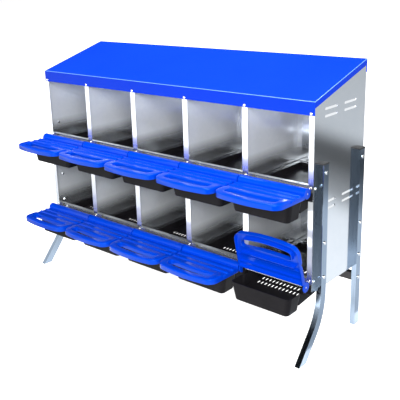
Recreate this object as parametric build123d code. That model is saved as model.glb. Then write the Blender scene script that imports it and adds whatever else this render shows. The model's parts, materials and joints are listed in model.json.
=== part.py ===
from build123d import *
import math
import os

# Chicken nesting box: two rows of five nests in a galvanised sheet cabinet on tube legs.
# X runs along the rows, Y from the front flanges to the back, Z up from the floor, all in millimetres.
# Row heights are measured from the row's own datum, which is the panel bottom for the lower row.

# Cabinet sheet metal
bay_count = 5
bay_pitch = 290.0
row_pitch = 348.0
cabinet_depth = 350.0
panel_bottom = 250.0
sheet = 1.0
side_flange = 20.0
divider_flange = 26.0
back_flange = 20.0
sheet_gap = 0.5

# Roof cover
roof_front_height = 689.0
roof_rise = 104.0
roof_sheet = 1.2
roof_fascia = 48.0
roof_side_lip = 23.0
roof_back_lip = 50.0
roof_fold = 2.0
roof_gap = 0.3

# Vent slots in the side panels
vent_length = 84.0
vent_height = 9.0
vent_spacing = 26.0
vent_column_gap = 131.0
vent_front_inset = 109.0
vent_drop = 35.0
vent_middle_height = 315.0

# Front rails
rail_top = 48.0
rail_height = 27.0
rail_depth = 17.0
rail_return = 10.0
rail_screw_drop = 8.0
rail_end_screw_drop = 11.0
rail_end_screw_inset = 12.0

# Nest pans, with the side gaps that set their widths inside a bay
pan_wall = 3.0
pan_rim = 15.0
rim_side_gap = 4.0
tray_flange_gap = 3.0
tray_back_gap = 12.0
tray_lip_reach = 8.0
floor_front = -37.0
floor_back = -3.0
trough_rim = 9.0
trough_bottom = -63.0
trough_front = 120.0
trough_rear = 37.0
trough_front_draft = 7.0
trough_side_gap = 15.0
trough_side_draft = 13.0
trough_corner = 18.0
trough_floor_round = 7.0
collar_side_gap = 1.0
collar_sheet = 3.0
collar_gap = 0.5
collar_low = -8.0
collar_high = 24.0
notch_clearance = 1.5
floor_slot_length = 20.0
floor_slot_width = 7.0
floor_slot_pitch = 15.9
floor_slot_row_pitch = 30.5
floor_slot_first = 14.5
floor_slot_margin = 6.0
floor_slot_rows = 6

# Pan runners
runner_sheet = 1.2
runner_width = 16.0
runner_height = 20.0
runner_gap = 0.3
runner_front = 22.0
runner_back_gap = 20.0

# Egg lids and their hinges
hinge_height = 29.0
hinge_forward = 30.0
rod_diameter = 6.0
rod_fit = 0.1
rod_running_gap = 0.6
lug_width = 7.0
lug_side_gap = 6.5
lug_radius = 6.5
lid_gap = 6.0
lid_taper = 4.0
lid_reach = 184.0
lid_bow = 16.0
lid_corner = 28.0
lid_skin = 2.5
lid_top = 4.0
lid_step = 5.5
lid_skirt = 21.0
barrel_radius = 19.0
barrel_rear_angle = 55.0
barrel_front_angle = 191.0
barrel_seat = 0.5
lid_rib_radius = 7.0
lid_rib_inset = 2.0
lid_rib_first = 41.0
lid_rib_pitch = 31.5
lid_rib_count = 2
handle_bar = 28.0
handle_slot = 35.0
handle_rear_bar = 21.0
handle_side = 32.0
handle_rim = 10.0
handle_round = 5.0
handle_corner = 9.0
under_rib = 8.0
stop_gap = 0.3
open_lid = ("lower", 5)
open_angle = 76.0

# Legs
leg_width = 20.0
leg_depth = 33.0
leg_wall = 1.5
leg_top = 466.0
leg_front_inset = 33.0
leg_back_inset = 24.5
bend_drop = 10.0
bend_radius = 230.0
bend_angle = 40.5
leg_bolt_heights = [437.0, 178.0, 47.0]
cap_thickness = 5.0
cap_plug = 14.0
cap_overhang = 0.8
cap_fit = 0.2

# Rear cross rail
cross_depth = 25.0
cross_height = 30.0
cross_drop = 34.0
cross_wall = 1.5
cross_end = 3.0

# Fasteners
screw_diameter = 4.2
screw_head = 11.0
screw_head_height = 2.5
screw_fit = 0.1
bolt_diameter = 6.0
bolt_head = 14.0
bolt_head_height = 4.0
bolt_fit = 0.2
nut_size = 10.0
nut_height = 5.0
shank_end = 8.0
screw_relief = 14.0
web_cut_half = 5.0
roof_screw_rise = 7.0

# Values that follow from the sizes above
half_width = bay_count * bay_pitch / 2
half_bay = bay_pitch / 2
pan_rim_half = half_bay - rim_side_gap
tray_half = half_bay - max(divider_flange / 2, side_flange) - tray_flange_gap
trough_half = half_bay - trough_side_gap
collar_half = half_bay - collar_side_gap
lid_width = bay_pitch - lid_gap
lug_outer = lid_width / 2 - lid_skin - lug_side_gap
roof_front = -(roof_gap + roof_sheet)
roof_back = cabinet_depth + sheet + roof_gap + roof_sheet
roof_slope = math.atan2(roof_rise, roof_back - roof_front)
hinge_y = -hinge_forward
front_reach = hinge_y - lid_reach
back_reach = max(roof_back, cabinet_depth + sheet + screw_head_height)
middle_y = (front_reach + back_reach) / 2
divider_places = [bay_pitch * (index - bay_count / 2) for index in range(1, bay_count)]
bay_places = [bay_pitch * (index - (bay_count - 1) / 2) for index in range(bay_count)]
row_datums = {"lower": panel_bottom, "upper": panel_bottom + row_pitch}
tray_back = cabinet_depth - tray_back_gap


def block(x_low, x_high, y_low, y_high, z_low, z_high):
    size = Box(x_high - x_low, y_high - y_low, z_high - z_low)
    return Pos((x_low + x_high) / 2, (y_low + y_high) / 2, (z_low + z_high) / 2) * size


def prism(points, x_low, x_high):
    face = Plane.YZ.offset(x_low) * Polygon(*points, align=None)
    return extrude(face, amount=x_high - x_low, dir=(1, 0, 0))


def rod_x(x_low, x_high, y, z, radius):
    return Pos((x_low + x_high) / 2, y, z) * Rot(0, 90, 0) * Cylinder(radius, x_high - x_low)


def rod_y(y_low, y_high, x, z, radius):
    return Pos(x, (y_low + y_high) / 2, z) * Rot(90, 0, 0) * Cylinder(radius, y_high - y_low)


def roof_line(y):
    return panel_bottom + roof_front_height + (y - roof_front) * math.tan(roof_slope)


def roof_underside(y):
    return roof_line(y) - roof_sheet / math.cos(roof_slope)


def sheet_top(y):
    return roof_underside(y) - roof_gap


def mirrored(shape):
    return mirror(shape, about=Plane.YZ)


def save(name, shapes):
    placed = [Pos(0, -middle_y, 0) * shape for shape in shapes]
    solids = [solid for shape in placed for solid in shape.solids()]
    result = solids[0] if len(solids) == 1 else Compound(children=solids)
    export_step(result, "parts/" + name + ".step")


def screw_front(x, z, face_y, shank_length):
    head = rod_y(face_y - screw_head_height, face_y, x, z, screw_head / 2)
    front_edge = head.edges().group_by(Axis.Y)[0]
    head = fillet(front_edge, screw_head_height * 0.7)
    return head + rod_y(face_y, face_y + shank_length, x, z, screw_diameter / 2)


def screw_hole_y(x, y_low, y_high, z):
    return rod_y(y_low, y_high, x, z, screw_diameter / 2 + screw_fit)


os.makedirs("parts", exist_ok=True)

# Screw places along the front: one on every divider flange and one on each side flange
side_screw_x = half_width - side_flange * 0.6
front_screw_places = [-side_screw_x] + divider_places + [side_screw_x]
roof_screw_z = panel_bottom + roof_front_height - roof_fascia + roof_screw_rise
leg_front_y = leg_front_inset + leg_depth / 2
leg_back_y = cabinet_depth - leg_back_inset - leg_depth / 2
leg_inner = half_width
leg_outer = half_width + leg_width

# Roof cover: one blue painted sheet, folded down in front, at both sides and at the back.
# It slips over the panels and is held by screws through the fascia.
roof_inner_front = -roof_gap
roof_inner_back = roof_back - roof_sheet
roof_inner_half = half_width + sheet_gap
roof_outer_half = roof_inner_half + roof_sheet
fascia_bottom = panel_bottom + roof_front_height - roof_fascia
lip_bottom = panel_bottom + roof_front_height + roof_rise - roof_back_lip
roof_outline = [
    (roof_front, fascia_bottom),
    (roof_front, roof_line(roof_front)),
    (roof_back, roof_line(roof_back)),
    (roof_back, lip_bottom),
    (roof_inner_back, lip_bottom),
    (roof_inner_back, roof_line(roof_inner_back) - roof_side_lip),
    (roof_inner_front, roof_line(roof_inner_front) - roof_side_lip),
    (roof_inner_front, fascia_bottom),
]
roof_hollow = [
    (roof_inner_front, fascia_bottom - roof_fascia),
    (roof_inner_front, roof_underside(roof_inner_front)),
    (roof_inner_back, roof_underside(roof_inner_back)),
    (roof_inner_back, fascia_bottom - roof_fascia),
]
roof_cover = prism(roof_outline, -roof_outer_half, roof_outer_half)
roof_top = roof_cover.faces().sort_by(Axis((0, 0, 0), (0, -math.sin(roof_slope), math.cos(roof_slope))))[-1]
roof_cover = fillet(roof_top.edges(), roof_fold)
roof_cover -= prism(roof_hollow, -roof_inner_half, roof_inner_half)
for x in front_screw_places:
    roof_cover -= screw_hole_y(x, roof_front - 1, 1, roof_screw_z)
save("roof_cover", [roof_cover])

# Side panels: galvanised sheet with the front and back edges folded inwards.
# The front flange is notched where the rims of the end pans slide through.
panel_outline = [
    (0, panel_bottom),
    (cabinet_depth, panel_bottom),
    (cabinet_depth, sheet_top(cabinet_depth)),
    (0, sheet_top(0)),
]
flange_inner = half_width - side_flange
side_panel = prism(panel_outline, half_width - sheet, half_width)
side_panel += block(flange_inner, half_width, 0, sheet, panel_bottom, sheet_top(0))
back_y = cabinet_depth - sheet
side_panel += block(flange_inner, half_width, back_y, cabinet_depth, panel_bottom, sheet_top(back_y))
rim_reach = bay_places[-1] + pan_rim_half
for datum in row_datums.values():
    notch_low = datum + pan_rim - pan_wall - notch_clearance
    notch_high = datum + pan_rim + notch_clearance
    side_panel -= block(flange_inner - 1, rim_reach + notch_clearance, -1, sheet + 0.2, notch_low, notch_high)
    rail_screw_z = datum + rail_top - rail_screw_drop
    side_panel -= screw_hole_y(side_screw_x, -1, sheet + 1, rail_screw_z)
    end_screw_z = datum + rail_top - rail_end_screw_drop
    end_screw_y = sheet + rail_end_screw_inset
    end_hole = screw_diameter / 2 + screw_fit
    side_panel -= rod_x(half_width - 2, half_width + 1, end_screw_y, end_screw_z, end_hole)
side_panel -= screw_hole_y(side_screw_x, -1, sheet + 1, roof_screw_z)
upper_vents = panel_bottom + roof_front_height - vent_drop
middle_vents = panel_bottom + vent_middle_height
vent_rows = [upper_vents, upper_vents - vent_spacing, middle_vents, middle_vents - vent_spacing]
for z in vent_rows:
    for y in [vent_front_inset, vent_front_inset + vent_column_gap]:
        slot = Plane.YZ.offset(half_width - 2) * Pos(y, z) * SlotOverall(vent_length, vent_height)
        side_panel -= extrude(slot, amount=4, dir=(1, 0, 0))
for y in [leg_front_y, leg_back_y]:
    for height in leg_bolt_heights:
        hole = bolt_diameter / 2 + bolt_fit
        side_panel -= rod_x(half_width - 2, half_width + 1, y, panel_bottom + height, hole)
back_screw_x = half_width - back_flange / 2
back_screw_heights = [panel_bottom + roof_front_height * share for share in (0.1, 0.5, 0.9)]
for z in back_screw_heights:
    side_panel -= screw_hole_y(back_screw_x, back_y - 1, cabinet_depth + 1, z)
save("side_panel_right", [side_panel])
save("side_panel_left", [mirrored(side_panel)])

# Dividers: galvanised sheet between the nests, with a T flange in front and an L flange at the back.
# The web is cut back for the front rails and for the tips of the roof screws.
divider_outline = [
    (0, panel_bottom),
    (cabinet_depth, panel_bottom),
    (cabinet_depth, sheet_top(cabinet_depth)),
    (0, sheet_top(0)),
]
divider = prism(divider_outline, -sheet / 2, sheet / 2)
half_flange = divider_flange / 2
divider += block(-half_flange, half_flange, 0, sheet, panel_bottom, sheet_top(0))
divider += block(-sheet / 2, back_flange, back_y, cabinet_depth, panel_bottom, sheet_top(back_y))
rim_edge = rim_side_gap - notch_clearance / 2
for datum in row_datums.values():
    rail_low = datum + rail_top - rail_height - sheet_gap
    rail_high = datum + rail_top + sheet_gap
    divider -= block(-web_cut_half, web_cut_half, sheet, sheet + rail_depth + sheet_gap, rail_low, rail_high)
    divider -= screw_hole_y(0, -1, sheet + 1, datum + rail_top - rail_screw_drop)
    notch_low = datum + pan_rim - pan_wall - notch_clearance
    notch_high = datum + pan_rim + notch_clearance
    divider -= block(rim_edge, half_flange + 1, -1, sheet + 0.2, notch_low, notch_high)
    divider -= block(-half_flange - 1, -rim_edge, -1, sheet + 0.2, notch_low, notch_high)
relief_low = roof_screw_z - screw_relief / 2
relief_high = roof_screw_z + screw_relief / 2
divider -= block(-web_cut_half, web_cut_half, sheet, sheet + screw_relief, relief_low, relief_high)
divider -= screw_hole_y(0, -1, sheet + 1, roof_screw_z)
for z in back_screw_heights:
    divider -= screw_hole_y(back_flange / 2, back_y - 1, cabinet_depth + 1, z)
for number, x in enumerate(divider_places, start=1):
    save("divider_" + str(number), [Pos(x, 0, 0) * divider])

# Back panel: one galvanised sheet screwed to the back flanges.
back_top = sheet_top(cabinet_depth)
back_panel = block(-half_width, half_width, cabinet_depth, cabinet_depth + sheet, panel_bottom, back_top)
back_screw_places = [-back_screw_x, back_screw_x] + [x + back_flange / 2 for x in divider_places]
for x in back_screw_places:
    for z in back_screw_heights:
        back_panel -= screw_hole_y(x, cabinet_depth - 1, cabinet_depth + sheet + 1, z)
save("back_panel", [back_panel])

# Front rails: a folded galvanised sill behind the flanges, over the pans of each row.
# Its ends are folded into tabs that take a screw through the side panel.
rail_half = half_width - sheet - sheet_gap
for row, datum in row_datums.items():
    top = datum + rail_top
    low = top - rail_height
    back = sheet + rail_depth
    rail = block(-rail_half, rail_half, sheet, 2 * sheet, low, top)
    rail += block(-rail_half, rail_half, sheet, back, top - sheet, top)
    rail += block(-rail_half, rail_half, back - sheet, back, top - rail_return, top)
    for side in [-1, 1]:
        ends = sorted([side * rail_half, side * (rail_half - sheet)])
        rail += block(ends[0], ends[1], sheet, back, low + sheet, top)
        hole_ends = sorted([side * (rail_half + 1), side * (rail_half - 2)])
        end_z = top - rail_end_screw_drop
        end_y = sheet + rail_end_screw_inset
        rail -= rod_x(hole_ends[0], hole_ends[1], end_y, end_z, screw_diameter / 2 + screw_fit)
    for x in front_screw_places:
        rail -= screw_hole_y(x, 0, 3 * sheet, top - rail_screw_drop)
    save("front_rail_" + row, [rail])

# Pan runners: two galvanised angle strips in every bay, fixed to the dividers and side panels.
# The rims of the pans slide and rest on them.
bay_walls = []
for index in range(bay_count):
    left = -half_width + sheet if index == 0 else divider_places[index - 1] + sheet / 2
    right = half_width - sheet if index == bay_count - 1 else divider_places[index] - sheet / 2
    bay_walls.append((left, right))
runner_back = cabinet_depth - runner_back_gap
for row, datum in row_datums.items():
    strips = []
    top = datum + pan_rim - pan_wall - runner_gap
    for left, right in bay_walls:
        shelf = block(left, left + runner_width, runner_front, runner_back, top - runner_sheet, top)
        web = block(left, left + runner_sheet, runner_front, runner_back, top - runner_height, top)
        strips.append(shelf + web)
        shelf = block(right - runner_width, right, runner_front, runner_back, top - runner_sheet, top)
        web = block(right - runner_sheet, right, runner_front, runner_back, top - runner_height, top)
        strips.append(shelf + web)
    save("pan_runners_" + row, strips)

# Nest pan: one black plastic moulding, with the slotted nest floor that slopes to the front,
# the egg trough in front of the cabinet, a collar that stops it when home and two hinge lugs.


def trough_section(wall, z_low, z_high):
    low_half = trough_half - trough_side_draft - wall
    high_half = trough_half - wall
    low_front = trough_front - trough_front_draft - wall
    high_front = trough_front - wall
    rear = trough_rear + wall
    corner = trough_corner - wall
    low_depth = low_front - rear
    high_depth = high_front - rear
    low = Pos(0, -(low_front + rear) / 2, z_low) * RectangleRounded(2 * low_half, low_depth, corner)
    high = Pos(0, -(high_front + rear) / 2, z_high) * RectangleRounded(2 * high_half, high_depth, corner)
    body = loft(Sketch() + [low, high])
    body = fillet(body.faces().sort_by(Axis.Z)[0].edges(), trough_floor_round - wall / 2)
    return body, high


def nest_floor(y):
    return floor_front + (y + trough_rear) / (tray_back + trough_rear) * (floor_back - floor_front)


def nest_pan():
    outer, outer_top = trough_section(0, trough_bottom, trough_rim)
    inner, inner_top = trough_section(pan_wall, trough_bottom + pan_wall, trough_rim)
    inner += extrude(inner_top, amount=pan_rim)
    front = -trough_rear - 3 * pan_wall
    home = -collar_gap
    tray_outline = [
        (front, nest_floor(front) - pan_wall),
        (tray_back, nest_floor(tray_back) - pan_wall),
        (tray_back, pan_rim),
        (home, pan_rim),
        (home, trough_rim),
        (front, trough_rim),
    ]
    hollow_front = -trough_rear - 6 * pan_wall
    hollow_back = tray_back - pan_wall
    hollow_outline = [
        (hollow_front, nest_floor(hollow_front)),
        (hollow_back, nest_floor(hollow_back)),
        (hollow_back, pan_rim + collar_high),
        (hollow_front, pan_rim + collar_high),
    ]
    inner_half = tray_half - pan_wall
    pan = outer + prism(tray_outline, -tray_half, tray_half)
    pan = pan - inner - prism(hollow_outline, -inner_half, inner_half)
    lip_low = pan_rim - pan_wall
    lip_back = tray_back + tray_lip_reach
    collar_front = -collar_gap - collar_sheet
    lug_inner = lug_outer - lug_width
    lug_base = trough_rim - lug_radius
    for side in [-1, 1]:
        edges = sorted([side * inner_half, side * pan_rim_half])
        pan += block(edges[0], edges[1], home, lip_back, lip_low, pan_rim)
        edges = sorted([side * inner_half, side * collar_half])
        pan += block(edges[0], edges[1], collar_front, home, collar_low, collar_high)
        edges = sorted([side * inner_half, side * lug_outer])
        pan += block(edges[0], edges[1], hinge_y - lug_radius, hinge_y + lug_radius, lug_base, trough_rim)
        edges = sorted([side * lug_inner, side * lug_outer])
        pan += block(edges[0], edges[1], hinge_y - lug_radius, hinge_y + lug_radius, trough_rim, hinge_height)
        pan += rod_x(edges[0], edges[1], hinge_y, hinge_height, lug_radius)
    pan += block(-pan_rim_half, pan_rim_half, hollow_back, lip_back, lip_low, pan_rim)
    pan -= rod_x(-lug_outer - 1, lug_outer + 1, hinge_y, hinge_height, rod_diameter / 2 + rod_fit)
    slot_room = inner_half - floor_slot_margin - floor_slot_width / 2
    columns = math.floor(slot_room / floor_slot_pitch)
    slot_shape = Rot(0, 0, 90) * SlotOverall(floor_slot_length, floor_slot_width)
    slots = []
    for column in range(-columns, columns + 1):
        for line in range(floor_slot_rows):
            y = floor_slot_first + floor_slot_row_pitch * line
            slots.append(Pos(floor_slot_pitch * column, y, trough_bottom) * slot_shape)
    pan -= extrude(Sketch() + slots, amount=pan_rim - trough_bottom)
    return pan


pan = nest_pan()

# Egg lid: one blue plastic moulding with a hooded hinge barrel, round ribs across a sunk panel, a skirt
# and a raised handle loop round a curved hand slot. Its hinge line is the origin here.
# A rib under it rests on the trough rim.


def egg_lid():
    half = lid_width / 2
    front_half = half - lid_taper
    barrel_inner = barrel_radius - lid_skin
    rear = -(barrel_inner + barrel_seat)
    corner_y = -(lid_reach - lid_bow)
    sides = Polyline((-front_half, corner_y), (-half, rear), (half, rear), (front_half, corner_y))
    bow = ThreePointArc((front_half, corner_y), (0, -lid_reach), (-front_half, corner_y))
    outline = make_face(Curve() + [sides, bow])
    outline = fillet(outline.vertices().group_by(Axis.Y)[0], lid_corner)
    skirt_low = lid_top - lid_skirt
    panel_top = lid_top - lid_step
    plate_low = panel_top - lid_skin
    lid = extrude(Pos(0, 0, skirt_low) * outline, amount=panel_top - skirt_low, dir=(0, 0, 1))

    slot_half = half - handle_side - handle_slot / 2
    slot_middle = lid_reach - handle_bar - handle_slot / 2
    slot_drop = lid_bow * (slot_half / front_half) ** 2
    slot_end = slot_drop - slot_middle
    slot_arc = ThreePointArc((-slot_half, slot_end), (0, -slot_middle), (slot_half, slot_end))
    loop_rear = slot_middle - handle_slot / 2 - handle_rear_bar
    loop_depth = lid_reach - loop_rear
    loop_plan = outline & Pos(0, -loop_rear - loop_depth / 2) * Rectangle(lid_width, loop_depth)
    loop_plan = fillet(loop_plan.vertices().group_by(Axis.Y)[-1], handle_corner)
    loop = extrude(Pos(0, 0, skirt_low) * loop_plan, amount=lid_skirt, dir=(0, 0, 1))
    lid += fillet(loop.faces().sort_by(Axis.Z)[-1].edges(), handle_round)
    hollow = offset(outline, -lid_skin)
    lid -= extrude(Pos(0, 0, skirt_low) * hollow, amount=plate_low - skirt_low, dir=(0, 0, 1))
    slot_rim = SlotArc(slot_arc, handle_slot + 2 * lid_skin)
    lid += extrude(Pos(0, 0, lid_top - handle_rim) * slot_rim, amount=handle_rim, dir=(0, 0, 1))

    rib_half = half - lid_taper - lid_rib_inset
    rib_line = lid_top - lid_rib_radius
    for number in range(lid_rib_count):
        y = -(lid_rib_first + lid_rib_pitch * number)
        ridge = rod_x(-rib_half, rib_half, y, rib_line, lid_rib_radius)
        keep = block(-half, half, y - lid_rib_radius, y + lid_rib_radius, plate_low, lid_top)
        lid += ridge & keep
        across = half - lid_taper - lid_skin / 2
        lid += block(-across, across, y - lid_skin / 2, y + lid_skin / 2, plate_low - under_rib, plate_low)

    stop_y = -(trough_front - pan_wall / 2 - hinge_forward)
    stop_low = trough_rim + stop_gap - hinge_height
    stop_half = trough_half - trough_side_draft
    lid += block(-stop_half, stop_half, stop_y - lid_skin / 2, stop_y + lid_skin / 2, stop_low, plate_low)
    slot_cut = SlotArc(slot_arc, handle_slot)
    lid -= extrude(Pos(0, 0, lid_top - 2 * lid_skirt) * slot_cut, amount=3 * lid_skirt, dir=(0, 0, 1))

    far = 3 * barrel_radius
    open_turn = 360.0 + barrel_rear_angle - barrel_front_angle
    open_angles = [math.radians(barrel_front_angle + open_turn * step / 4) for step in range(5)]
    wedge = [(0, 0)] + [(far * math.cos(angle), far * math.sin(angle)) for angle in open_angles]
    hood = rod_x(-half, half, 0, 0, barrel_radius) - rod_x(-half - 1, half + 1, 0, 0, barrel_inner)
    hood -= prism(wedge, -half - 1, half + 1)
    lid += hood
    bore = rod_diameter / 2 + rod_running_gap / 2
    for side in [-1, 1]:
        ends = sorted([side * half, side * (half - lid_skin)])
        lid += rod_x(ends[0], ends[1], 0, 0, barrel_radius)
    lid -= rod_x(-half - 1, half + 1, 0, 0, bore)
    return lid


lid = egg_lid()

# Every bay of both rows gets a pan, a steel hinge rod in the pan's lugs and a lid on the rod.
# One lid of the lower row stands open.
rod_half = lid_width / 2 - sheet_gap
for row, datum in row_datums.items():
    for number, x in enumerate(bay_places, start=1):
        name = row + "_" + str(number)
        angle = -open_angle if (row, number) == open_lid else 0.0
        hinge = Pos(x, hinge_y, datum + hinge_height)
        rod = rod_x(-rod_half, rod_half, 0, 0, rod_diameter / 2)
        save("nest_pan_" + name, [Pos(x, 0, datum) * pan])
        save("hinge_rod_" + name, [hinge * rod])
        save("egg_lid_" + name, [hinge * Rot(angle, 0, 0) * lid])

# Legs: rectangular steel tube, bolted flat against the side panels.
# The front ones bend forwards below the cabinet, the rear ones are straight.
tube_top = panel_bottom + leg_top
bend_start = panel_bottom - bend_drop
bend = math.radians(bend_angle)


def leg_side(inset):
    near = leg_depth / 2 - inset
    centre_y = leg_front_y - bend_radius
    along = (-math.sin(bend), -math.cos(bend))
    sides = []
    for offset_y in [-near, near]:
        radius = bend_radius + offset_y
        middle = bend / 2
        arc_mid = (centre_y + radius * math.cos(middle), bend_start - radius * math.sin(middle))
        arc_end = (centre_y + radius * math.cos(bend), bend_start - radius * math.sin(bend))
        run = arc_end[1] / -along[1]
        foot = (arc_end[0] + along[0] * run, 0.0)
        top = (centre_y + radius, tube_top)
        start = (centre_y + radius, bend_start)
        sides.append((top, start, arc_mid, arc_end, foot))
    front, rear = sides
    lines = [
        Line(front[0], front[1]),
        ThreePointArc(front[1], front[2], front[3]),
        Line(front[3], front[4]),
        Line(front[4], rear[4]),
        Line(rear[4], rear[3]),
        ThreePointArc(rear[3], rear[2], rear[1]),
        Line(rear[1], rear[0]),
        Line(rear[0], front[0]),
    ]
    return make_face(Curve() + lines)


def bolt_holes(shape, y, heights):
    for z in heights:
        shape -= rod_x(leg_inner - 1, leg_outer + 1, y, z, bolt_diameter / 2 + bolt_fit)
    return shape


bolt_levels = [panel_bottom + height for height in leg_bolt_heights]
cross_top = panel_bottom - cross_drop
cross_low = cross_top - cross_height
cross_level = (cross_top + cross_low) / 2
wall_inner = leg_inner + leg_wall
tube_inside = leg_width - 2 * leg_wall
front_leg = extrude(Plane.YZ.offset(leg_inner) * leg_side(0), amount=leg_width, dir=(1, 0, 0))
front_leg -= extrude(Plane.YZ.offset(wall_inner) * leg_side(leg_wall), amount=tube_inside, dir=(1, 0, 0))
front_leg = bolt_holes(front_leg, leg_front_y, bolt_levels)
back_near = leg_back_y - leg_depth / 2
back_far = leg_back_y + leg_depth / 2
rear_leg = block(leg_inner, leg_outer, back_near, back_far, 0, tube_top)
wall_outer = leg_outer - leg_wall
rear_leg -= block(wall_inner, wall_outer, back_near + leg_wall, back_far - leg_wall, -1, tube_top + 1)
rear_leg = bolt_holes(rear_leg, leg_back_y, bolt_levels + [cross_level])
save("leg_front_right", [front_leg])
save("leg_front_left", [mirrored(front_leg)])
save("leg_rear_right", [rear_leg])
save("leg_rear_left", [mirrored(rear_leg)])

# Leg caps: black plastic plugs pressed into the tops of the four tubes.
caps = []
for y in [leg_front_y, leg_back_y]:
    near = leg_depth / 2 + cap_overhang
    plug = leg_depth / 2 - leg_wall - cap_fit
    cap = block(leg_inner, leg_outer + cap_overhang, y - near, y + near, tube_top, tube_top + cap_thickness)
    plug_outer = leg_outer - leg_wall - cap_fit
    cap += block(wall_inner + cap_fit, plug_outer, y - plug, y + plug, tube_top - cap_plug, tube_top)
    caps += [cap, mirrored(cap)]
save("leg_caps", caps)

# Rear cross rail: black steel tube with closed ends between the rear legs.
cross_near = leg_back_y - cross_depth / 2
cross_far = leg_back_y + cross_depth / 2
cross_rail = block(-leg_inner, leg_inner, cross_near, cross_far, cross_low, cross_top)
hollow_half = leg_inner - cross_end
cross_rail -= block(
    -hollow_half,
    hollow_half,
    cross_near + cross_wall,
    cross_far - cross_wall,
    cross_low + cross_wall,
    cross_top - cross_wall,
)
cross_hole = bolt_diameter / 2 + bolt_fit
cross_rail -= rod_x(-leg_inner - 1, -hollow_half + 1, leg_back_y, cross_level, cross_hole)
cross_rail -= rod_x(hollow_half - 1, leg_inner + 1, leg_back_y, cross_level, cross_hole)
save("rear_cross_rail", [cross_rail])

# Screws and bolts, one group for each kind and place.
flange_shank = sheet + roof_gap + roof_sheet
roof_screws = [screw_front(x, roof_screw_z, roof_front, flange_shank + shank_end) for x in front_screw_places]
save("roof_screws", roof_screws)
for row, datum in row_datums.items():
    level = datum + rail_top - rail_screw_drop
    save("rail_screws_" + row, [screw_front(x, level, 0, 2 * sheet + shank_end) for x in front_screw_places])


def turned(shape, x, y, z, turn):
    return Pos(x, y, z) * Rot(0, 0, turn) * shape


screw = screw_front(0, 0, 0, 2 * sheet + sheet_gap + shank_end)
end_screws = []
for datum in row_datums.values():
    level = datum + rail_top - rail_end_screw_drop
    y = sheet + rail_end_screw_inset
    end_screws += [turned(screw, half_width, y, level, 90), turned(screw, -half_width, y, level, -90)]
save("rail_end_screws", end_screws)
back_screw = screw_front(0, 0, 0, 2 * sheet + shank_end)
back_face = cabinet_depth + sheet
back_screws = []
for x in back_screw_places:
    back_screws += [turned(back_screw, x, back_face, z, 180) for z in back_screw_heights]
save("back_screws", back_screws)


def bolt(inner_end, y, z):
    head = rod_x(leg_outer, leg_outer + bolt_head_height, y, z, bolt_head / 2)
    head = fillet(head.edges().group_by(Axis.X)[-1], bolt_head_height * 0.7)
    return head + rod_x(inner_end, leg_outer, y, z, bolt_diameter / 2)


nut_inner = half_width - sheet - nut_height
bolts = []
nuts = []
for y in [leg_front_y, leg_back_y]:
    for z in bolt_levels:
        leg_bolt = bolt(nut_inner - 1, y, z)
        hexagon = RegularPolygon(nut_size / 2, 6, major_radius=False)
        nut = extrude(Plane.YZ.offset(nut_inner) * Pos(y, z) * hexagon, amount=nut_height, dir=(1, 0, 0))
        nut -= rod_x(nut_inner - 1, half_width, y, z, bolt_diameter / 2 + screw_fit)
        bolts += [leg_bolt, mirrored(leg_bolt)]
        nuts += [nut, mirrored(nut)]
save("leg_bolts", bolts)
save("leg_nuts", nuts)
cross_bolt = bolt(leg_inner - cross_end - shank_end, leg_back_y, cross_level)
save("cross_rail_bolts", [cross_bolt, mirrored(cross_bolt)])
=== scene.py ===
import json
import math

import bmesh
import bpy
from mathutils import Matrix, Vector


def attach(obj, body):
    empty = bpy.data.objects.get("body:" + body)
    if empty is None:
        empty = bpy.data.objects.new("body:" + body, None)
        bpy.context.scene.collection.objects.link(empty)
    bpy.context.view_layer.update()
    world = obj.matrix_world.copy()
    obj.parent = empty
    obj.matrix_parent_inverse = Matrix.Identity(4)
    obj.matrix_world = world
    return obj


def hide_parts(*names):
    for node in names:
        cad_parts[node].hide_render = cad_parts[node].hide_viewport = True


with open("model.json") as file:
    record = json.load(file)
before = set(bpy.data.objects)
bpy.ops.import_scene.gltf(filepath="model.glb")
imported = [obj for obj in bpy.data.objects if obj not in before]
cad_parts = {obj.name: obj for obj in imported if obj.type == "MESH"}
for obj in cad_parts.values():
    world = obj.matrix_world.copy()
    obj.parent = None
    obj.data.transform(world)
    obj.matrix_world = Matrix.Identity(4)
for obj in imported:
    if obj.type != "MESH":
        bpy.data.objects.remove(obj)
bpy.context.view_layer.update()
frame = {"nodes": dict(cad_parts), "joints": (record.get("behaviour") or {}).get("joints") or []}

cad = frame["nodes"]

# Legs: four lengths of rectangular steel tube, bright zinc plated, with faint lines from drawing the tube.
# The front pair is bent forwards below the cabinet, and all four are bolted flat on the side panels.
zinc_dark = (0.29, 0.37, 0.48)
zinc_light = (0.37, 0.46, 0.57)
zinc_roughness = (0.1, 0.17)
draw_line_scale = 40.0
draw_line_stretch = (8.0, 8.0, 0.35)
draw_line_strength = 0.05
draw_line_depth = 0.0005
full_metal = 1.0
mottle_from = 0.3
mottle_to = 0.7
unstretched = (1.0, 1.0, 1.0)


def finish_start(name):
    material = bpy.data.materials.new(name)
    material.use_nodes = True
    shader = material.node_tree.nodes["Principled BSDF"]
    return material, material.node_tree.nodes, material.node_tree.links, shader


def object_pattern(nodes, links, kind, scale, stretch=unstretched):
    place = nodes.new("ShaderNodeTexCoord")
    turn = nodes.new("ShaderNodeMapping")
    turn.inputs["Scale"].default_value = stretch
    pattern = nodes.new(kind)
    pattern.inputs["Scale"].default_value = scale
    links.new(place.outputs["Object"], turn.inputs["Vector"])
    links.new(turn.outputs["Vector"], pattern.inputs["Vector"])
    return pattern


def noise(nodes, links, scale, stretch=unstretched):
    return object_pattern(nodes, links, "ShaderNodeTexNoise", scale, stretch).outputs["Fac"]


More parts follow.
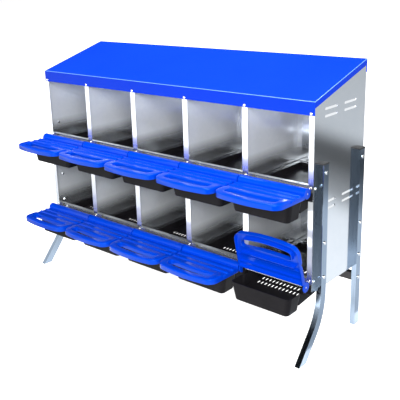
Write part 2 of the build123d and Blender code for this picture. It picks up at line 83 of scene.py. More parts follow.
def mottle(nodes, links, shader, source, dark, light):
    steps = nodes.new("ShaderNodeValToRGB")
    steps.color_ramp.elements[0].position = mottle_from
    steps.color_ramp.elements[1].position = mottle_to
    steps.color_ramp.elements[0].color = (*dark, 1.0)
    steps.color_ramp.elements[1].color = (*light, 1.0)
    links.new(source, steps.inputs["Fac"])
    links.new(steps.outputs["Color"], shader.inputs["Base Color"])


def value_range(nodes, links, source, low, high, source_low=0.0, source_high=1.0):
    spread = nodes.new("ShaderNodeMapRange")
    spread.inputs["From Min"].default_value = source_low
    spread.inputs["From Max"].default_value = source_high
    spread.inputs["To Min"].default_value = low
    spread.inputs["To Max"].default_value = high
    links.new(source, spread.inputs["Value"])
    return spread.outputs["Result"]


def rough_range(nodes, links, shader, source, roughness):
    links.new(value_range(nodes, links, source, *roughness), shader.inputs["Roughness"])


def surface_bump(nodes, links, shader, source, strength, depth):
    bump = nodes.new("ShaderNodeBump")
    bump.inputs["Strength"].default_value = strength
    bump.inputs["Distance"].default_value = depth
    links.new(source, bump.inputs["Height"])
    links.new(bump.outputs["Normal"], shader.inputs["Normal"])


def dress(names, material):
    for name in names:
        cad[name].data.materials.clear()
        cad[name].data.materials.append(material)


zinc, nodes, links, shader = finish_start("zinc_plated_tube")
shader.inputs["Metallic"].default_value = full_metal
draw_lines = noise(nodes, links, draw_line_scale, draw_line_stretch)
mottle(nodes, links, shader, draw_lines, zinc_dark, zinc_light)
rough_range(nodes, links, shader, draw_lines, zinc_roughness)
surface_bump(nodes, links, shader, draw_lines, draw_line_strength, draw_line_depth)
dress(["leg_front_left", "leg_front_right", "leg_rear_left", "leg_rear_right"], zinc)

# Leg caps and rear cross rail: black plastic plugs pushed into the tops of the tubes,
# and a black painted tube bolted between the rear legs.
cap_black = (0.02, 0.02, 0.022)
cap_roughness = 0.45
cap_grain_scale = 900.0
cap_grain_strength = 0.2
cap_grain_depth = 0.0002
rail_black = (0.015, 0.015, 0.017)
rail_roughness = (0.28, 0.45)
rail_peel_scale = 350.0
rail_peel_strength = 0.1
rail_peel_depth = 0.0003


def plain_colour(shader, colour):
    shader.inputs["Base Color"].default_value = (*colour, 1.0)


black_cap, nodes, links, shader = finish_start("black_cap_plastic")
plain_colour(shader, cap_black)
shader.inputs["Roughness"].default_value = cap_roughness
surface_bump(nodes, links, shader, noise(nodes, links, cap_grain_scale), cap_grain_strength, cap_grain_depth)
dress(["leg_caps"], black_cap)

black_paint, nodes, links, shader = finish_start("black_rail_paint")
plain_colour(shader, rail_black)
rail_peel = noise(nodes, links, rail_peel_scale)
rough_range(nodes, links, shader, rail_peel, rail_roughness)
surface_bump(nodes, links, shader, rail_peel, rail_peel_strength, rail_peel_depth)
dress(["rear_cross_rail"], black_paint)

# Cabinet: galvanised sheet panels, dividers, back, front rails and pan runners, folded and screwed together.
# The zinc has a faint crystal pattern and a soft mirror finish.
# On the panels and dividers the faces inside the nests are dulled above the height of the pans.
spangle_dark = (0.83, 0.87, 0.91)
spangle_light = (0.87, 0.90, 0.93)
crystal_scale = 70.0
crystal_share = 0.35
cloud_scale = 9.0
sheet_wave_strength = 0.012
sheet_wave_depth = 0.002
sheet_roughness = (0.1, 0.15)
bright_metal = 0.96
rail_metal = 0.88
panel_half_width = 0.725
half_sheet = 0.0005
panel_roughness = (0.14, 0.12)
row_bottom = 0.25
row_height = 0.348
low_metal = 0.93
dulled_metal = 0.42
dulled_from = 0.05
dulled_to = 0.11
divider_numbers = range(1, 5)


def sheet_finish(name):
    material, nodes, links, shader = finish_start(name)
    crystals = object_pattern(nodes, links, "ShaderNodeTexVoronoi", crystal_scale)
    clouds = noise(nodes, links, cloud_scale)
    mix = nodes.new("ShaderNodeMix")
    mix.data_type = "FLOAT"
    mix.inputs["Factor"].default_value = crystal_share
    split = nodes.new("ShaderNodeSeparateColor")
    links.new(crystals.outputs["Color"], split.inputs["Color"])
    links.new(clouds, mix.inputs["A"])
    links.new(split.outputs["Red"], mix.inputs["B"])
    spangle = mix.outputs["Result"]
    mottle(nodes, links, shader, spangle, spangle_dark, spangle_light)
    surface_bump(nodes, links, shader, clouds, sheet_wave_strength, sheet_wave_depth)
    return material, nodes, links, shader, spangle


def even_sheet(name, metallic):
    material, nodes, links, shader, spangle = sheet_finish(name)
    shader.inputs["Metallic"].default_value = metallic
    rough_range(nodes, links, shader, spangle, sheet_roughness)
    return material


def worked_out(nodes, links, operation, source, value=0.0):
    step = nodes.new("ShaderNodeMath")
    step.operation = operation
    links.new(source, step.inputs[0])
    step.inputs[1].default_value = value
    return step.outputs["Value"]


bright_sheet = even_sheet("galvanised_bright", bright_metal)
dress(["pan_runners_upper", "pan_runners_lower", "back_panel"], bright_sheet)
dress(["front_rail_upper", "front_rail_lower"], even_sheet("galvanised_rail", rail_metal))

panel_sheet, nodes, links, shader = sheet_finish("galvanised_panel")[:4]
place = nodes.new("ShaderNodeTexCoord")
split = nodes.new("ShaderNodeSeparateXYZ")
links.new(place.outputs["Object"], split.inputs["Vector"])
from_middle = worked_out(nodes, links, "ABSOLUTE", split.outputs["X"])
outside = worked_out(nodes, links, "GREATER_THAN", from_middle, panel_half_width - half_sheet)
above_bottom = worked_out(nodes, links, "SUBTRACT", split.outputs["Z"], row_bottom)
in_row = worked_out(nodes, links, "FLOORED_MODULO", above_bottom, row_height)
inside_metal = value_range(nodes, links, in_row, low_metal, dulled_metal, dulled_from, dulled_to)
panel_metal = nodes.new("ShaderNodeMath")
panel_metal.operation = "MAXIMUM"
links.new(inside_metal, panel_metal.inputs[0])
links.new(outside, panel_metal.inputs[1])
links.new(panel_metal.outputs["Value"], shader.inputs["Metallic"])
rough_range(nodes, links, shader, outside, panel_roughness)
dress(["side_panel_left", "side_panel_right"], panel_sheet)
dress(["divider_" + str(number) for number in divider_numbers], panel_sheet)

# Vent tongues: each vent slot of the side panels keeps its metal as a tongue.
# It is cut on three sides and bent inwards about its lower edge, so that rain runs off outside.
vent_columns = [0.03925, 0.17025]
vent_levels = [0.904, 0.878, 0.565, 0.539]
vent_height = 0.009
tongue_root = 0.7247
tongue_length = 0.078
tongue_height = 0.0088
tongue_sheet = 0.0008
tongue_round = 0.004
tongue_round_steps = 6
tongue_sink = tongue_sheet / 4
tongue_lean = math.radians(22.0)


def picked(kind, test):
    shape = bmesh.from_edit_mesh(bpy.context.object.data)
    for part in list(shape.verts) + list(shape.edges) + list(shape.faces):
        part.select_set(False)
    for part in getattr(shape, kind):
        if test(part):
            part.select_set(True)
    shape.select_flush_mode()
    bmesh.update_edit_mesh(bpy.context.object.data)


def edit(kind):
    bpy.ops.object.mode_set(mode="EDIT")
    bpy.ops.mesh.select_mode(type=kind)


def new_block(name, low, high):
    bpy.ops.object.select_all(action="DESELECT")
    size = [b - a for a, b in zip(low, high)]
    middle = [(a + b) / 2 for a, b in zip(low, high)]
    bpy.ops.mesh.primitive_cube_add(size=1.0, location=middle, scale=size)
    bpy.ops.object.transform_apply(location=True, rotation=True, scale=True)
    bpy.context.object.name = name
    return bpy.context.object


def link_copy(name, master, place):
    copy = bpy.data.objects.new(name, master.data.copy())
    copy.data.transform(place)
    bpy.context.scene.collection.objects.link(copy)
    return copy


def join_all(name, pieces):
    bpy.ops.object.select_all(action="DESELECT")
    for piece in pieces:
        piece.select_set(True)
    bpy.context.view_layer.objects.active = pieces[0]
    bpy.ops.object.join()
    pieces[0].name = name
    return pieces[0]


def tongue_corner(edge):
    start, end = edge.verts
    on_top = min(start.co.z, end.co.z) > tongue_height / 2
    return on_top and abs(start.co.y - end.co.y) < tongue_sheet


tongue_low = (-tongue_sheet, -tongue_length / 2, 0.0)
tongue_high = (0.0, tongue_length / 2, tongue_height)
tongue = new_block("vent_tongue", tongue_low, tongue_high)
edit("EDGE")
picked("edges", tongue_corner)
bpy.ops.mesh.bevel(offset=tongue_round, segments=tongue_round_steps, affect="EDGES")
bpy.ops.object.mode_set(mode="OBJECT")
tongue.data.materials.append(bright_sheet)
tongues = []
for facing in (0.0, math.pi):
    for y in vent_columns:
        for level in vent_levels:
            root = Vector((tongue_root * math.cos(facing), y, level - vent_height / 2 - tongue_sink))
            leaning = Matrix.Rotation(facing, 4, "Z") @ Matrix.Rotation(-tongue_lean, 4, "Y")
            place = Matrix.Translation(root) @ leaning
            tongues.append(link_copy("vent_tongue_" + str(len(tongues)), tongue, place))
bpy.data.objects.remove(tongue)
vents = join_all("vent_tongues", tongues)
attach(vents, "cabinet")

# Roof cover: one steel sheet with blue paint, folded down on all four sides and screwed on at the front.
# The rounded folds of the top are painted a lighter blue, a painted highlight along the folds.
roof_blue_dark = (0.0014, 0.041, 0.62)
roof_blue_light = (0.002, 0.045, 0.66)
roof_specular = 0.08
roof_roughness = (0.2, 0.27)
roof_peel_scale = 260.0
roof_peel_strength = 0.06
roof_peel_depth = 0.0004
roof_shade_scale = 3.0
# Lighter blue for the rounded folds: a painted highlight.
fold_highlight_blue_dark = (0.15, 0.35, 0.98)
fold_highlight_blue_light = (0.19, 0.4, 1.0)
fold_roughness = 0.25
fold_highlight_mottle_scale = 30.0
fold_above = 0.92
fold_tilt_low = 0.05
fold_tilt_high = 0.94
merge_distance = 0.00001
same_plane = math.radians(0.1)
roof_smooth_angle = math.radians(25.0)
fold_highlight_slot = 1


def take(piece):
    bpy.ops.object.select_all(action="DESELECT")
    bpy.context.view_layer.objects.active = piece
    piece.select_set(True)


def rounded_fold(face):
    tilted = fold_tilt_low < face.normal.z < fold_tilt_high
    return tilted and face.calc_center_median().z > fold_above


blue_paint, nodes, links, shader = finish_start("blue_roof_paint")
shader.inputs["Specular IOR Level"].default_value = roof_specular
roof_peel = noise(nodes, links, roof_peel_scale)
mottle(nodes, links, shader, noise(nodes, links, roof_shade_scale), roof_blue_dark, roof_blue_light)
rough_range(nodes, links, shader, roof_peel, roof_roughness)
surface_bump(nodes, links, shader, roof_peel, roof_peel_strength, roof_peel_depth)
# Second roof material: the painted highlight on the rounded fold faces.
fold_highlight_paint, nodes, links, shader = finish_start("blue_fold_paint")
shader.inputs["Roughness"].default_value = fold_roughness
mottle(nodes, links, shader, noise(nodes, links, fold_highlight_mottle_scale), fold_highlight_blue_dark, fold_highlight_blue_light)

roof = bpy.data.objects.new("folded_roof", cad["roof_cover"].data.copy())
bpy.context.scene.collection.objects.link(roof)
roof.data.materials.clear()
roof.data.materials.append(blue_paint)
roof.data.materials.append(fold_highlight_paint)
take(roof)
edit("EDGE")
bpy.ops.mesh.select_all(action="SELECT")
bpy.ops.mesh.remove_doubles(threshold=merge_distance)
bpy.ops.mesh.dissolve_limited(angle_limit=same_plane)
bpy.ops.mesh.select_mode(type="FACE")
picked("faces", rounded_fold)
roof.active_material_index = fold_highlight_slot
bpy.ops.object.material_slot_assign()
bpy.ops.object.mode_set(mode="OBJECT")
bpy.ops.object.shade_smooth_by_angle(angle=roof_smooth_angle)
flat_faces = roof.modifiers.new("flat_faces", "WEIGHTED_NORMAL")
flat_faces.keep_sharp = True
bpy.ops.object.modifier_apply(modifier=flat_faces.name)
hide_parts("roof_cover")
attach(roof, "cabinet")

# Nest pans: one black plastic moulding for each nest, with the egg trough in front.
# The plastic is matt with a fine grain, and each pan slides on the runners of its bay.
rows = ["lower", "upper"]
nest_numbers = range(1, 6)
places = [row + "_" + str(number) for row in rows for number in nest_numbers]
pan_black_dark = (0.009, 0.0085, 0.010)
pan_black_light = (0.013, 0.012, 0.014)
pan_specular = 0.06
pan_roughness = (0.34, 0.46)
pan_wear_scale = 14.0
pan_grain_scale = 1200.0
pan_grain_strength = 0.25
pan_grain_depth = 0.0002
black_pan, nodes, links, shader = finish_start("black_pan_plastic")
shader.inputs["Specular IOR Level"].default_value = pan_specular
pan_wear = noise(nodes, links, pan_wear_scale)
mottle(nodes, links, shader, pan_wear, pan_black_dark, pan_black_light)
rough_range(nodes, links, shader, pan_wear, pan_roughness)
surface_bump(nodes, links, shader, noise(nodes, links, pan_grain_scale), pan_grain_strength, pan_grain_depth)
dress(["nest_pan_" + place for place in places], black_pan)

# Hinge rods: bright plated steel wire, one for each nest.
# Each rod is held in the lugs of its pan and carries the lid.
plated_steel = (0.82, 0.83, 0.85)
plated_roughness = (0.1, 0.22)
scuff_scale = 300.0
plated, nodes, links, shader = finish_start("bright_plated_steel")
plain_colour(shader, plated_steel)
shader.inputs["Metallic"].default_value = full_metal
rough_range(nodes, links, shader, noise(nodes, links, scuff_scale), plated_roughness)
dress(["hinge_rod_" + place for place in places], plated)

# Egg lids: glossy blue mouldings, each a skirted plate with ridges and a raised loop round the hand slot.
# Ribs stiffen it below. The rear edge is a hood that ends in two ears, which turn on the hinge rod.
lid_blue = (0.0, 0.052, 0.62)
lid_specular = 0.45
lid_specular_tint = (0.12, 0.45, 1.0, 1.0)
lid_roughness = (0.1, 0.16)
lid_grain_scale = 700.0
lid_grain_strength = 0.05
lid_grain_depth = 0.0002
lid_half = 0.142
lid_reach = 0.184
lid_bow = 0.016
lid_taper = 0.028
lid_corner = 0.030
lid_corner_steps = 8
lid_rear = 0.017
panel_top = -0.0015
skin = 0.0028
skirt_low = -0.017
front_from = 0.11
bow_from = 0.131
column_pitch = 0.02
columns = [column_pitch * step for step in range(-6, 7)]
soft_edge = 0.0011
soft_edge_steps = 3
soft_edge_angle = math.radians(40.0)
loop_top = 0.004
loop_rear = 0.100
loop_corner = 0.009
loop_round = 0.005
loop_steps = 5
slot_from = 0.121
slot_to = 0.156
slot_half = 0.110
slot_corner = 0.0115
slot_corner_steps = 5
slot_round = 0.003
slot_round_steps = 3
collar_low = -0.0165
collar_top = -0.001
collar_corner = 0.0140
through = 0.05
ridge_reaches = (0.041, 0.0725)
ridge_radius = 0.0075
ridge_end_gap = 0.0015
ridge_end_round = 0.005
ridge_end_steps = 4
ridge_sink = 0.001
rib_half_sheet = 0.00125
rib_top = -0.0035
web_half = 0.136
web_low = -0.0125
stop_reach = 0.0885
stop_half = 0.117
stop_low = -0.0197
barrel_radius = 0.019
barrel_sides = 96
hood_wall = 0.0025
hood_from = 54.0
hood_to = 191.0
full_turn = 360.0
ear_sheet = 0.003
ear_rise = 0.0002
ear_sides = 64
ear_round = 0.0007
ear_round_steps = 2
bore_radius = 0.0033
bore_length = 0.4
bore_sides = 24
lid_smooth_angle = math.radians(38.0)
upright_rise = 0.004
near_level = 0.9
near_edge = 0.001
hair = 0.0001

# The collar's and the slot's columns are shifted, so that no two shapes share a cut where they are joined.
collar_shift = 0.004
slot_shift = 0.007


def centre(part):
    return sum((vert.co for vert in part.verts), Vector()) / len(part.verts)


def new_bar(name, place, radius, length, sides=32, fill="NGON"):
    bpy.ops.object.select_all(action="DESELECT")
    bpy.ops.mesh.primitive_cylinder_add(
        vertices=sides,
        radius=radius,
        depth=length,
        end_fill_type=fill,
        location=place,
        rotation=(0.0, math.pi / 2, 0.0),
    )
    bpy.ops.object.transform_apply(location=True, rotation=True, scale=True)
    bpy.context.object.name = name
    return bpy.context.object


def upright(edge):
    start, end = edge.verts
    return abs(start.co.z - end.co.z) > upright_rise


def rim_edge(edge):
    start, end = edge.verts
    return abs(start.co.x - end.co.x) < hair


def level_top(face):
    return face.normal.z > near_level


def level_bottom(face):
    return face.normal.z < -near_level


def front_corner(edge):
    return upright(edge) and centre(edge).y < -front_from


def loop_face(face):
    return level_top(face) and centre(face).y < -loop_rear


def loop_rear_corner(edge):
    middle = centre(edge)
    return upright(edge) and middle.z > panel_top and middle.y > -loop_rear - near_edge


def loop_edge(edge):
    on_top = all(vert.co.z > loop_top - hair for vert in edge.verts)
    return on_top and any(not level_top(face) for face in edge.link_faces)


def off_hood(face):
    middle = centre(face)
    turn = math.degrees(math.atan2(middle.z, middle.y)) % full_turn
    return not hood_from < turn < hood_to


def extrude_up(rise):
    bpy.ops.mesh.extrude_region_move(TRANSFORM_OT_translate={"value": (0.0, 0.0, rise)})


def round_front(corner, steps, shift):
    edit("EDGE")
    picked("edges", front_corner)
    bpy.ops.mesh.bevel(offset=corner, segments=steps, affect="EDGES")
    for x in columns:
        bpy.ops.mesh.select_all(action="SELECT")
        bpy.ops.mesh.bisect(plane_co=(x + shift, 0.0, 0.0), plane_no=(1.0, 0.0, 0.0))


def bow_front():
    shape = bmesh.from_edit_mesh(bpy.context.object.data)
    for vert in shape.verts:
        forward = min(1.0, max(0.0, (-vert.co.y - loop_rear) / (bow_from - loop_rear)))
        vert.co.y += lid_bow * (vert.co.x / lid_half) ** 2 * forward
        vert.co.x *= 1.0 + lid_taper * vert.co.y / lid_reach
    bmesh.update_edit_mesh(bpy.context.object.data)
    bpy.ops.object.mode_set(mode="OBJECT")


def join_in(target, tool, how):
    cut = target.modifiers.new("join", "BOOLEAN")
    cut.operation = how
    cut.solver = "EXACT"
    cut.object = tool
    take(target)
    bpy.ops.object.modifier_apply(modifier=cut.name)
    bpy.data.objects.remove(tool)


def new_rib(name, half, reach, low):
    rear_low = (-half, -reach - rib_half_sheet, low)
    return new_block(name, rear_low, (half, -reach + rib_half_sheet, rib_top))


blue_plastic, nodes, links, shader = finish_start("blue_lid_plastic")
plain_colour(shader, lid_blue)
shader.inputs["Specular IOR Level"].default_value = lid_specular
shader.inputs["Specular Tint"].default_value = lid_specular_tint
lid_grain = noise(nodes, links, lid_grain_scale)
rough_range(nodes, links, shader, lid_grain, lid_roughness)
surface_bump(nodes, links, shader, lid_grain, lid_grain_strength, lid_grain_depth)

lid = new_block("egg_lid", (-lid_half, -lid_reach, skirt_low), (lid_half, -lid_rear, panel_top))
round_front(lid_corner, lid_corner_steps, 0.0)
bpy.ops.mesh.select_all(action="SELECT")
bpy.ops.mesh.bisect(plane_co=(0.0, -loop_rear, 0.0), plane_no=(0.0, 1.0, 0.0))
bpy.ops.mesh.select_mode(type="FACE")
picked("faces", loop_face)
extrude_up(loop_top - panel_top)
bpy.ops.mesh.select_mode(type="EDGE")
picked("edges", loop_rear_corner)
bpy.ops.mesh.bevel(offset=loop_corner, segments=loop_steps, affect="EDGES")
picked("edges", loop_edge)
bpy.ops.mesh.bevel(offset=loop_round, segments=loop_steps, affect="EDGES")
bpy.ops.mesh.select_mode(type="FACE")
picked("faces", level_bottom)
bpy.ops.mesh.inset(thickness=skin, depth=0.0)
extrude_up(panel_top - skin - skirt_low)
bow_front()
soften = lid.modifiers.new("soft_edges", "BEVEL")
soften.limit_method = "ANGLE"
soften.angle_limit = soft_edge_angle
soften.width = soft_edge
soften.segments = soft_edge_steps
take(lid)
bpy.ops.object.modifier_apply(modifier=soften.name)

collar_front = (-slot_half - skin, -slot_to - skin, collar_low)
collar_back = (slot_half + skin, -slot_from + skin, collar_top)
collar = new_block("slot_ring", collar_front, collar_back)
round_front(collar_corner, slot_corner_steps, collar_shift)
bow_front()
join_in(lid, collar, "UNION")

slot_middle = (0.0, -(slot_from + slot_to) / 2, 0.0)
slot_half_deep = (slot_to - slot_from) / 2
slot_front = (-slot_half, -slot_to, -through)
hole = new_block("slot_hole", slot_front, (slot_half, -slot_from, loop_top - slot_round))
round_front(slot_corner, slot_corner_steps, slot_shift)
bpy.ops.mesh.select_mode(type="FACE")
picked("faces", level_top)
grown = 0.0
last_rise = 0.0
for step in range(1, slot_round_steps + 1):
    turn = math.pi / 2 * step / slot_round_steps
    outset = slot_round * (1.0 - math.cos(turn))
    rise = slot_round * math.sin(turn)
    spread_x = (slot_half + outset) / (slot_half + grown)
    spread_y = (slot_half_deep + outset) / (slot_half_deep + grown)
    extrude_up(rise - last_rise)
    bpy.ops.transform.resize(value=(spread_x, spread_y, 1.0), center_override=slot_middle)
    grown = outset
    last_rise = rise
extrude_up(through)
bow_front()
join_in(lid, hole, "DIFFERENCE")

for reach in ridge_reaches:
    ridge_half = lid_half * (1.0 - lid_taper * reach / lid_reach) - ridge_end_gap
    ridge = new_bar("lid_ridge", (0.0, -reach, loop_top - ridge_radius), ridge_radius, 2 * ridge_half)
    edit("EDGE")
    picked("edges", rim_edge)
    bpy.ops.mesh.bevel(offset=ridge_end_round, segments=ridge_end_steps, affect="EDGES")
    bpy.ops.mesh.select_all(action="SELECT")
    bpy.ops.mesh.bisect(
        plane_co=(0.0, 0.0, panel_top - ridge_sink),
        plane_no=(0.0, 0.0, 1.0),
        use_fill=True,
        clear_inner=True,
    )
    bpy.ops.object.mode_set(mode="OBJECT")
    join_in(lid, ridge, "UNION")
    join_in(lid, new_rib("lid_web", web_half, reach, web_low), "UNION")
join_in(lid, new_rib("lid_stop", stop_half, stop_reach, stop_low), "UNION")

hood = new_bar("lid_hood", (0.0, 0.0, 0.0), barrel_radius, 2 * lid_half, barrel_sides, "NOTHING")
edit("FACE")
picked("faces", off_hood)
bpy.ops.mesh.delete(type="FACE")
bpy.ops.object.mode_set(mode="OBJECT")
wall = hood.modifiers.new("hood_wall", "SOLIDIFY")
wall.thickness = hood_wall
wall.offset = -1.0
bpy.ops.object.modifier_apply(modifier=wall.name)
join_in(lid, hood, "UNION")
for side in (-1.0, 1.0):
    ear_place = (side * (lid_half - ear_sheet / 2), 0.0, 0.0)
    ear = new_bar("lid_ear", ear_place, barrel_radius + ear_rise, ear_sheet, ear_sides)
    edit("EDGE")
    picked("edges", rim_edge)
    bpy.ops.mesh.bevel(offset=ear_round, segments=ear_round_steps, affect="EDGES")
    bpy.ops.object.mode_set(mode="OBJECT")
    join_in(lid, ear, "UNION")
bore = new_bar("rod_bore", (0.0, 0.0, 0.0), bore_radius, bore_length, bore_sides)
join_in(lid, bore, "DIFFERENCE")
edit("EDGE")
bpy.ops.mesh.select_all(action="SELECT")
bpy.ops.mesh.remove_doubles(threshold=merge_distance)
bpy.ops.mesh.normals_make_consistent(inside=False)
bpy.ops.object.mode_set(mode="OBJECT")
bpy.ops.object.shade_smooth_by_angle(angle=lid_smooth_angle)

lid.data.materials.append(blue_plastic)
for place in places:
    hinge = next(joint for joint in frame["joints"] if joint["name"] == "lid_hinge_" + place)
    opened = math.radians(-hinge["range_deg"][0])
    hung = Matrix.Translation(hinge["pos_m"]) @ Matrix.Rotation(-opened, 4, "X")
    copy = link_copy("moulded_lid_" + place, lid, hung)
    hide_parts("egg_lid_" + place)
    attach(copy, "lid_" + place)
bpy.data.objects.remove(lid)

# Screws, bolts and nuts: bright plated steel, in one group for each place.
# Pan-head screws with a cross recess hold the sheets. Dome-head bolts with hexagon nuts hold the legs.
# Every piece stands where its plain solid stands and is as long.
screw_head = 0.011
screw_head_height = 0.0025
screw_shank = 0.0042
screw_pitch = 0.0014
recess_half = 0.0024
recess_width = 0.0012
recess_depth = 0.0013
bolt_head = 0.014
bolt_head_height = 0.004
bolt_shank = 0.006
bolt_pitch = 0.001
bolt_plain = 0.016
nut_across = 0.010
nut_round = 0.0006
nut_round_steps = 2
nut_clearance = 0.0001
nut_sides = 6
pin_sides = 32
head_rounding = 0.7
head_steps = 5
thread_share = 0.82
spin_step = 37.0
pin_smooth_angle = math.radians(35.0)


def loose_boxes(name):
    shape = bmesh.new()
    shape.from_mesh(cad[name].data)
    bmesh.ops.remove_doubles(shape, verts=shape.verts, dist=merge_distance)
    seen = set()
    boxes = []
    for start in shape.verts:
        if start in seen:
            continue
        seen.add(start)
        found = [start]
        for vert in found:
            near = [edge.other_vert(vert) for edge in vert.link_edges]
            fresh = [other for other in near if other not in seen]
            seen.update(fresh)
            found.extend(fresh)
        low = Vector([min(vert.co[axis] for vert in found) for axis in range(3)])
        high = Vector([max(vert.co[axis] for vert in found) for axis in range(3)])
        boxes.append((low, high))
    shape.free()
    return boxes


def shrink(share):
    bpy.ops.transform.resize(value=(share, share, 1.0), center_override=(0.0, 0.0, 0.0))


def new_post(sides, radius, length, middle):
    bpy.ops.object.select_all(action="DESELECT")
    bpy.ops.mesh.primitive_cylinder_add(vertices=sides, radius=radius, depth=length, location=middle)
    bpy.ops.object.transform_apply(location=True, rotation=True, scale=True)
    return bpy.context.object


def bevel_top(height, rounding, steps):
    edit("EDGE")
    picked("edges", lambda edge: min(vert.co.z for vert in edge.verts) > -height / 2)
    bpy.ops.mesh.bevel(offset=rounding, segments=steps, affect="EDGES")


def new_pin(head, head_height, shank, length, plain, pitch):
    pin = new_post(pin_sides, head / 2, head_height, (0.0, 0.0, -head_height / 2))
    bevel_top(head_height, head_height * head_rounding, head_steps)
    bpy.ops.mesh.select_mode(type="FACE")
    picked("faces", level_bottom)
    bpy.ops.mesh.inset(thickness=(head - shank) / 2, depth=0.0)
    extrude_up(-plain)
    threaded = length - head_height - plain
    turns = int(threaded / pitch) - 1
    for turn in range(turns):
        extrude_up(-pitch / 2)
        shrink(thread_share)
        extrude_up(-pitch / 2)
        shrink(1.0 / thread_share)
    extrude_up(turns * pitch - threaded)
    shrink(thread_share / 2)
    bpy.ops.object.mode_set(mode="OBJECT")
    return pin


def new_screw(length):
    screw = new_pin(screw_head, screw_head_height, screw_shank, length, screw_pitch, screw_pitch)
    for half_x, half_y in ((recess_half, recess_width / 2), (recess_width / 2, recess_half)):
        cross = new_block("cross_recess", (-half_x, -half_y, -recess_depth), (half_x, half_y, recess_depth))
        join_in(screw, cross, "DIFFERENCE")
    return screw


def new_bolt(length):
    return new_pin(bolt_head, bolt_head_height, bolt_shank, length, bolt_plain, bolt_pitch)


def new_nut(length):
    corner = nut_across / 2 / math.cos(math.pi / nut_sides)
    nut = new_post(nut_sides, corner, length, (0.0, 0.0, -length / 2))
    bevel_top(length, nut_round, nut_round_steps)
    bpy.ops.object.mode_set(mode="OBJECT")
    bore = new_post(pin_sides, bolt_shank / 2 + nut_clearance, 4 * length, (0.0, 0.0, 0.0))
    join_in(nut, bore, "DIFFERENCE")
    return nut


def to_front(middle):
    return Vector((0.0, -1.0, 0.0))


def to_rear(middle):
    return Vector((0.0, 1.0, 0.0))


def to_end(middle):
    return Vector((math.copysign(1.0, middle.x), 0.0, 0.0))


def to_inside(middle):
    return -to_end(middle)


def set_group(group, new_piece, outward_at, spin):
    copies = []
    boxes = loose_boxes(group)
    first_low, first_high = boxes[0]
    master = new_piece(abs((first_high - first_low).dot(outward_at(first_low))))
    bpy.ops.object.shade_smooth_by_angle(angle=pin_smooth_angle)
    master.data.materials.clear()
    master.data.materials.append(plated)
    for number, (low, high) in enumerate(boxes):
        outward = outward_at(low)
        top = (low + high) / 2 + outward * abs((high - low).dot(outward)) / 2
        aim = Vector((0.0, 0.0, 1.0)).rotation_difference(outward).to_matrix().to_4x4()
        turn = Matrix.Rotation(math.radians(spin * number), 4, "Z")
        copies.append(link_copy(group + "_" + str(number), master, Matrix.Translation(top) @ aim @ turn))
    bpy.data.objects.remove(master)
    joined = join_all("detailed_" + group, copies)
    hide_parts(group)
    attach(joined, "cabinet")


for group in ("roof_screws", "rail_screws_upper", "rail_screws_lower"):
    set_group(group, new_screw, to_front, spin_step)
set_group("back_screws", new_screw, to_rear, spin_step)
set_group("rail_end_screws", new_screw, to_end, spin_step)
for group in ("leg_bolts", "cross_rail_bolts"):
    set_group(group, new_bolt, to_end, spin_step)
set_group("leg_nuts", new_nut, to_inside, 0.0)

# Studio floor: plain white paper that glows a little, so that it stays white to the camera.
# A grey cloth just below it takes its place for the light that bounces up on the object.
floor_size = 60.0
floor_grey = 0.9
floor_glow = 0.7
bounce_grey = 0.12
bounce_depth = 0.02
paper_roughness = 0.9
white = (1.0, 1.0, 1.0, 1.0)


def matt_finish(name, grey, roughness, glow):
    material, nodes, links, shader = finish_start(name)
    plain_colour(shader, (grey, grey, grey))
    shader.inputs["Roughness"].default_value = roughness
    shader.inputs["Specular IOR Level"].default_value = 0.0
    shader.inputs["Emission Color"].default_value = white
    shader.inputs["Emission Strength"].default_value = glow
    return material, nodes, links, shader


def wide_plane(name, height, material):
    bpy.ops.object.select_all(action="DESELECT")
    bpy.ops.mesh.primitive_plane_add(size=floor_size, location=(0.0, 0.0, height))
    plane = bpy.context.object
    plane.name = name
    plane.data.materials.append(material)
    plane.visible_shadow = False
    return plane


paper = matt_finish("studio_floor_paper", floor_grey, paper_roughness, floor_glow)[0]
floor = wide_plane("studio_floor", 0.0, paper)
floor.visible_diffuse = False
cloth = matt_finish("studio_bounce_cloth", bounce_grey, paper_roughness, 0.0)[0]
bounce = wide_plane("studio_bounce", -bounce_depth, cloth)
bounce.visible_camera = False
bounce.visible_glossy = False

# Studio cards: plain and shaded sheets that only the bright metal mirrors.
# Each stop of a shaded card is a distance along its direction, with the grey that the card has there.
lying_flat = (0.0, 0.0, 0.0)
card_roughness = 1.0
cool_red = 0.95
cool_blue = 1.06
side_card_size = (7.22, 15.0)
side_card_x = 4.39
side_card_y = 6.5
side_slant = 0.404
side_run = 0.915
side_stops = [
    (0.58, 0.56),
    (0.66, 0.5),
    (0.8, 0.23),
    (1.05, 0.14),
    (1.26, 0.06),
    (1.53, 0.06),
    (1.65, 0.24),
    (1.87, 0.5),
]
rear_stops = [(0.4, 0.45), (0.8, 0.3), (1.3, 0.12), (1.8, 0.08), (2.3, 0.25), (3.2, 0.45)]
rear_card_place = (0.0, 7.2, 0.01)
rear_card_size = (1.56, 13.6)
front_stops = [(-3.2, 0.015), (-2.0, 0.02), (-1.2, 0.055), (-0.45, 0.2)]
front_card_place = (1.925, -1.825, 0.012)
front_card_size = (1.95, 2.75)
card_height = 0.01
straight_back = (0.0, 1.0, 0.0)
white_card_place = (-2.2, -3.2, 0.01)
white_card_size = (6.0, 3.6)
white_card_grey = 0.9
white_card_glow = 0.8
back_card_place = (-3.6, 4.2, 5.9)
back_card_size = (18.0, 12.0)
back_card_turn = (math.radians(90.0), 0.0, math.radians(40.0))
back_card_grey = 0.03
over_card_place = (-0.5, -1.0, 4.6)
over_card_size = (12.0, 11.0)
over_card_grey = 0.04


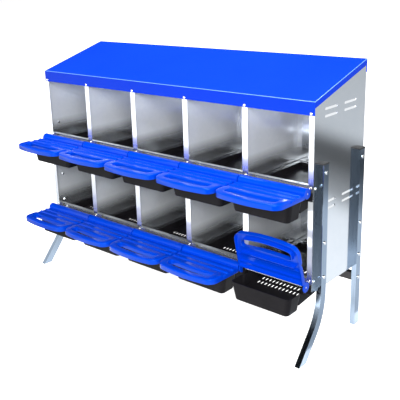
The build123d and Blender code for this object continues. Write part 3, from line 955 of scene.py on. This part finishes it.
def studio_card(name, middle, size, turn, grey, glow=0.0):
    bpy.ops.object.select_all(action="DESELECT")
    bpy.ops.mesh.primitive_plane_add(size=1.0, location=middle, rotation=turn)
    card = bpy.context.object
    card.name = name
    card.scale = (size[0], size[1], 1.0)
    bpy.ops.object.transform_apply(location=True, rotation=True, scale=True)
    cloth, nodes, links, shader = matt_finish(name + "_cloth", grey, card_roughness, glow)
    card.data.materials.append(cloth)
    card.visible_camera = False
    card.visible_diffuse = False
    card.visible_shadow = False
    return nodes, links, shader


def shaded_card(name, middle, size, direction, stops):
    nodes, links, shader = studio_card(name, middle, size, lying_flat, stops[0][1])
    start = stops[0][0]
    end = stops[-1][0]
    place = nodes.new("ShaderNodeTexCoord")
    reach = nodes.new("ShaderNodeVectorMath")
    reach.operation = "DOT_PRODUCT"
    reach.inputs[1].default_value = direction
    links.new(place.outputs["Object"], reach.inputs[0])
    ramp = nodes.new("ShaderNodeValToRGB")
    along = value_range(nodes, links, reach.outputs["Value"], 0.0, 1.0, start, end)
    links.new(along, ramp.inputs["Fac"])
    links.new(ramp.outputs["Color"], shader.inputs["Base Color"])
    steps = ramp.color_ramp.elements
    steps.remove(steps[1])
    for number, (distance, grey) in enumerate(stops):
        share = (distance - start) / (end - start)
        step = steps.new(share) if number else steps[0]
        step.color = (grey * cool_red, grey, grey * cool_blue, 1.0)


for name, side in (("side_card", 1.0), ("left_card", -1.0)):
    middle = (side * side_card_x, side_card_y, card_height)
    shaded_card(name, middle, side_card_size, (-side * side_slant, side_run, 0.0), side_stops)
shaded_card("rear_card", rear_card_place, rear_card_size, straight_back, rear_stops)
shaded_card("front_card", front_card_place, front_card_size, straight_back, front_stops)
studio_card("white_card", white_card_place, white_card_size, lying_flat, white_card_grey, white_card_glow)
studio_card("back_card", back_card_place, back_card_size, back_card_turn, back_card_grey)
studio_card("over_card", over_card_place, over_card_size, lying_flat, over_card_grey)

# Studio light: a white surround, a large soft lamp in front on the right and a smaller one over the roof.
# The view is the standard one, so that the blues stay as strong as they are painted.
surround_strength = 1.0
key_place = (2.7, -3.0, 2.2)
key_aim = (0.0, 0.0, 0.75)
key_size = 2.0
key_power = 200.0
top_place = (-0.3, 0.3, 3.6)
top_aim = (0.0, 0.1, 0.9)
top_size = 1.6
top_power = 75.0


def soft_light(name, place, aim, size, power):
    light = bpy.data.lights.new(name, "AREA")
    light.shape = "DISK"
    light.size = size
    light.energy = power
    lamp = bpy.data.objects.new(name, light)
    lamp.location = place
    lamp.rotation_euler = (Vector(aim) - Vector(place)).to_track_quat("-Z", "Y").to_euler()
    bpy.context.scene.collection.objects.link(lamp)


world = bpy.data.worlds.new("studio_surround")
bpy.context.scene.world = world
world.use_nodes = True
world.node_tree.nodes["Background"].inputs["Color"].default_value = white
world.node_tree.nodes["Background"].inputs["Strength"].default_value = surround_strength
soft_light("key_light", key_place, key_aim, key_size, key_power)
soft_light("top_light", top_place, top_aim, top_size, top_power)
bpy.context.scene.view_settings.view_transform = "Standard"

# Camera: it stands in front on the right, at the photograph's viewing angle.
# Its place, turn, lens and shift were solved from the photograph's straight edges and screw heads.
film_width = 36.0
photo_lens = 61.27
photo_shift_x = 0.0125
photo_shift_y = -0.0925
camera_place = (1.8904, -1.9881, 1.3656)
camera_turn = (74.232, 1.660, 41.101)
camera_data = bpy.data.cameras.new("photo_camera")
camera_data.sensor_width = film_width
camera_data.lens = photo_lens
camera_data.shift_x = photo_shift_x
camera_data.shift_y = photo_shift_y
camera = bpy.data.objects.new("photo_camera", camera_data)
camera.location = camera_place
camera.rotation_euler = [math.radians(angle) for angle in camera_turn]
bpy.context.scene.collection.objects.link(camera)
bpy.context.scene.camera = camera
